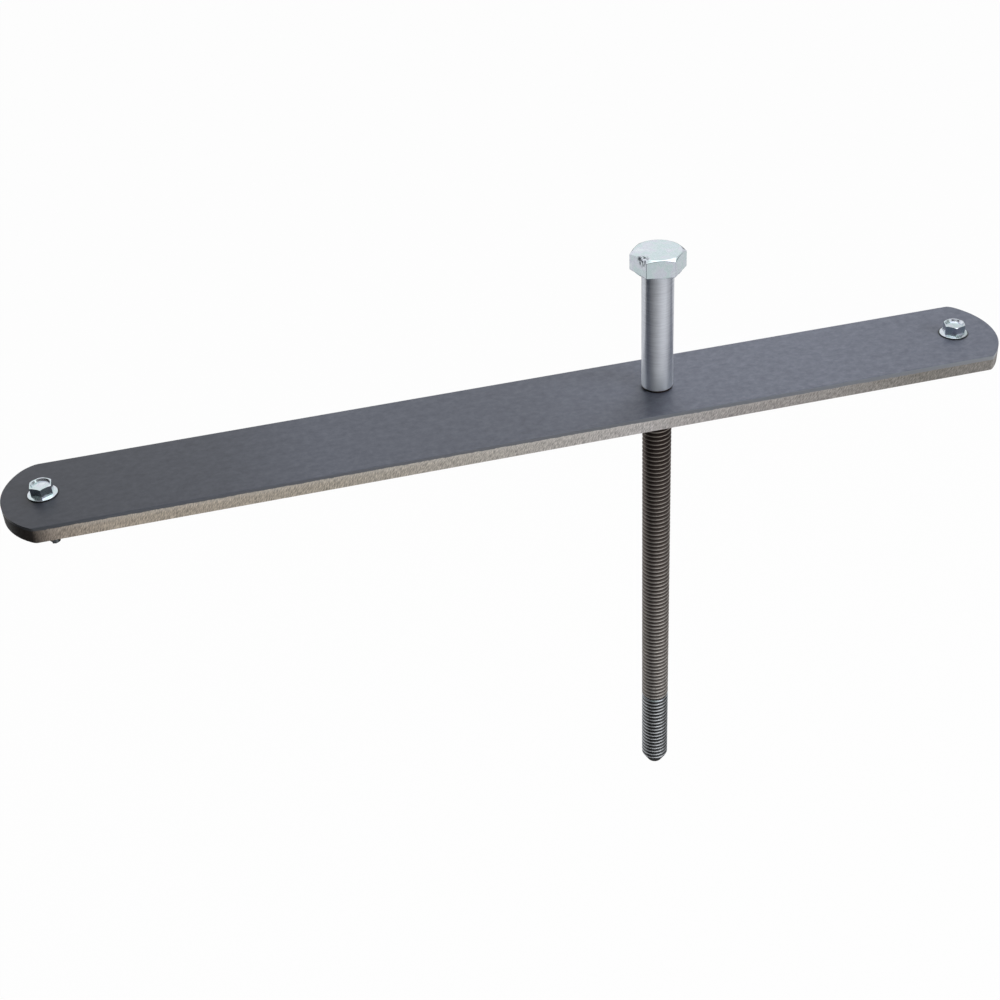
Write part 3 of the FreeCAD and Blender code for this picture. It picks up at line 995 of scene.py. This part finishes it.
def build_ring(name, bottom, top, foot_radius, tones):
    """Graduated card round the bolt, out of the camera's sight: it shades the round steel from
    side to side. Its tones go by degrees from the camera, as seen from the bolt. Its heights
    and its radius at the bottom are in metres."""
    bpy.ops.object.select_all(action="DESELECT")
    bpy.ops.mesh.primitive_cone_add(
        vertices=96, radius1=foot_radius, radius2=CARD_RING_RADIUS, depth=top - bottom,
        end_fill_type="NOTHING",
        location=(BOLT_X * MM, 0, (bottom + top) / 2),
    )
    ring = named(name)
    settle(ring)
    material, tree = new_tree(name + "_card")
    where = add(tree, "ShaderNodeTexCoord").outputs["Object"]
    camera_angle = math.atan2(CAMERA_PLACE[1], CAMERA_PLACE[0] - BOLT_X * MM)
    from_camera = add(
        tree, "ShaderNodeMapping",
        {"Vector": where, "Location": (BOLT_X * MM, 0, 0), "Rotation": (0, 0, camera_angle)},
        vector_type="TEXTURE",
    )
    angle = add(tree, "ShaderNodeTexGradient", {0: from_camera}, gradient_type="RADIAL")
    stops = [(0.5 + degrees / 360, tone) for degrees, tone in tones]
    shade = add(tree, "ShaderNodeValToRGB", {"Fac": angle.outputs["Fac"]}, stops=stops)
    glow = add(tree, "ShaderNodeEmission", {"Color": shade, "Strength": 1.0})
    add(tree, "ShaderNodeOutputMaterial", {"Surface": glow})
    finish_card(ring, material)


def build_card(name, place, facing, size, strength):
    """Flat card beside the set, out of the camera's sight: black for a dark edge in the metal,
    or glowing for a bright one. Its place, the point that it faces and its size are in metres."""
    bpy.ops.object.select_all(action="DESELECT")
    bpy.ops.mesh.primitive_plane_add(size=1)
    card = named(name)
    card.scale = (*size, 1)
    card.rotation_euler = (Vector(facing) - Vector(place)).to_track_quat("Z", "Y").to_euler()
    card.location = place
    settle(card)
    material, tree = new_tree(name)
    glow = add(tree, "ShaderNodeEmission", {"Color": (1, 1, 1, 1), "Strength": strength})
    add(tree, "ShaderNodeOutputMaterial", {"Surface": glow})
    finish_card(card, material)


def build_lamp(name, place, size, watts):
    """Soft rectangular lamp, pointed at the object, with place and size in metres. Metal shows
    the cards instead of it."""
    lamp = bpy.data.lights.new(name, "AREA")
    lamp.shape = "RECTANGLE"
    lamp.size, lamp.size_y = size
    lamp.energy = watts
    holder = bpy.data.objects.new(name, lamp)
    bpy.context.scene.collection.objects.link(holder)
    holder.location = place
    holder.rotation_euler = (-Vector(place)).to_track_quat("-Z", "Y").to_euler()
    holder.visible_glossy = False


def build_world():
    """Weak even light, and the white backdrop wherever a camera or metal looks at it."""
    world = bpy.data.worlds.new("studio")
    bpy.context.scene.world = world
    world.use_nodes = True
    tree = world.node_tree
    tree.nodes.clear()
    strength = add(
        tree, "ShaderNodeMapRange", {"Value": seen_rays(tree), "To Min": 0.08, "To Max": 1.0},
    )
    background = add(tree, "ShaderNodeBackground", {"Color": (1, 1, 1, 1), "Strength": strength})
    add(tree, "ShaderNodeOutputWorld", {"Surface": background})


def build_camera():
    """The camera that took the photograph, as fitted to the object's outlines."""
    camera = bpy.data.cameras.new("camera")
    camera.lens = CAMERA_LENS
    camera.sensor_width = 36.0
    camera.clip_start = 0.01
    camera.clip_end = 100.0
    holder = bpy.data.objects.new("camera", camera)
    bpy.context.scene.collection.objects.link(holder)
    heading = Matrix.Rotation(math.radians(CAMERA_HEADING), 4, "Z")
    tilt = Matrix.Rotation(math.radians(90 - CAMERA_DOWN), 4, "X")
    roll = Matrix.Rotation(math.radians(CAMERA_ROLL), 4, "Z")
    holder.matrix_world = Matrix.Translation(CAMERA_PLACE) @ heading @ tilt @ roll
    bpy.context.scene.camera = holder


def scuff_place():
    """Where the plate on the bolt's head is chipped, in millimetres."""
    angle = math.radians(BOLT_SCUFF_ANGLE)
    return (
        BOLT_X + BOLT_SCUFF_RADIUS * math.cos(angle),
        BOLT_SCUFF_RADIUS * math.sin(angle),
        BOLT_TOP - BOLT_SCUFF_DROP,
    )


bolt_zinc = zinc_plate("zinc_plate_bright", 0.18, 0.28, scuff=scuff_place())
screw_zinc = zinc_plate("zinc_plate_polished", 0.14, 0.24, painted_shade_top=BAR_TOP + SCREW_PAINTED_SHADE_HEIGHT)
build_bar(mill_scale_steel())
build_bolt(bolt_zinc, turned_zinc(), cut_thread(), rolled_thread())
for screw_node, screw_turn in SCREW_TURNS.items():
    build_deck_screw(screw_node, screw_turn, screw_zinc)

build_floor()
build_world()
build_lamp("key", place=(1.6, -1.5, 1.0), size=(1.4, 1.2), watts=44)
build_lamp("back", place=(0.3, 0.42, 0.6), size=(0.5, 0.5), watts=5.5)
build_ring("room_ring", bottom=0.12, top=0.75, foot_radius=CARD_RING_RADIUS, tones=[
    (-180, "ffffff"), (-88, "ffffff"), (-78, "404040"), (-40, "6c6c6c"), (46, "6c6c6c"),
    (57, "ffffff"), (73, "ffffff"), (88, "a0a0a0"), (120, "a0a0a0"), (145, "d8d8d8"), (170, "ffffff"),
])
build_ring("upper_ring", bottom=-0.36, top=0.1, foot_radius=CARD_RING_RADIUS, tones=[
    (-180, "303030"), (-155, "303030"), (-144, "e8e8e8"), (-100, "e8e8e8"), (-91, "c0c0c0"),
    (-87, "000000"), (-77, "000000"), (-64, "606060"), (-34, "a4a4a4"), (-5, "d4d4d4"),
    (14, "e4e4e4"), (32, "f4f4f4"), (62, "dcdcdc"), (79, "dcdcdc"), (99, "dcdcdc"), (115, "d8d8d8"),
    (130, "e4e4e4"), (148, "e4e4e4"), (160, "202020"), (180, "303030"),
])
build_ring("lower_ring", bottom=-0.59, top=-0.36, foot_radius=0.38, tones=[
    (-135, "303030"), (-100, "505050"), (-68, "484848"), (-28, "787878"), (-8, "888888"),
    (12, "c8c8c8"), (45, "ffffff"), (66, "ffffff"), (85, "808080"), (105, "101010"), (180, "101010"),
])
build_card(
    "under_card", place=(0.055, 0, -0.585), facing=(0.055, 0, 0), size=(0.84, 0.84), strength=0.15,
)
build_card(
    "left_card", place=(-0.7, -0.15, 0.0), facing=(-0.2, 0, 0), size=(0.9, 1.4), strength=0.0,
)
build_card(
    "high_card", place=(0.18, -0.04, 0.6), facing=(0.055, 0, 0.06), size=(0.6, 0.5), strength=2.2,
)
build_camera()
bpy.context.scene.view_settings.view_transform = "Standard"
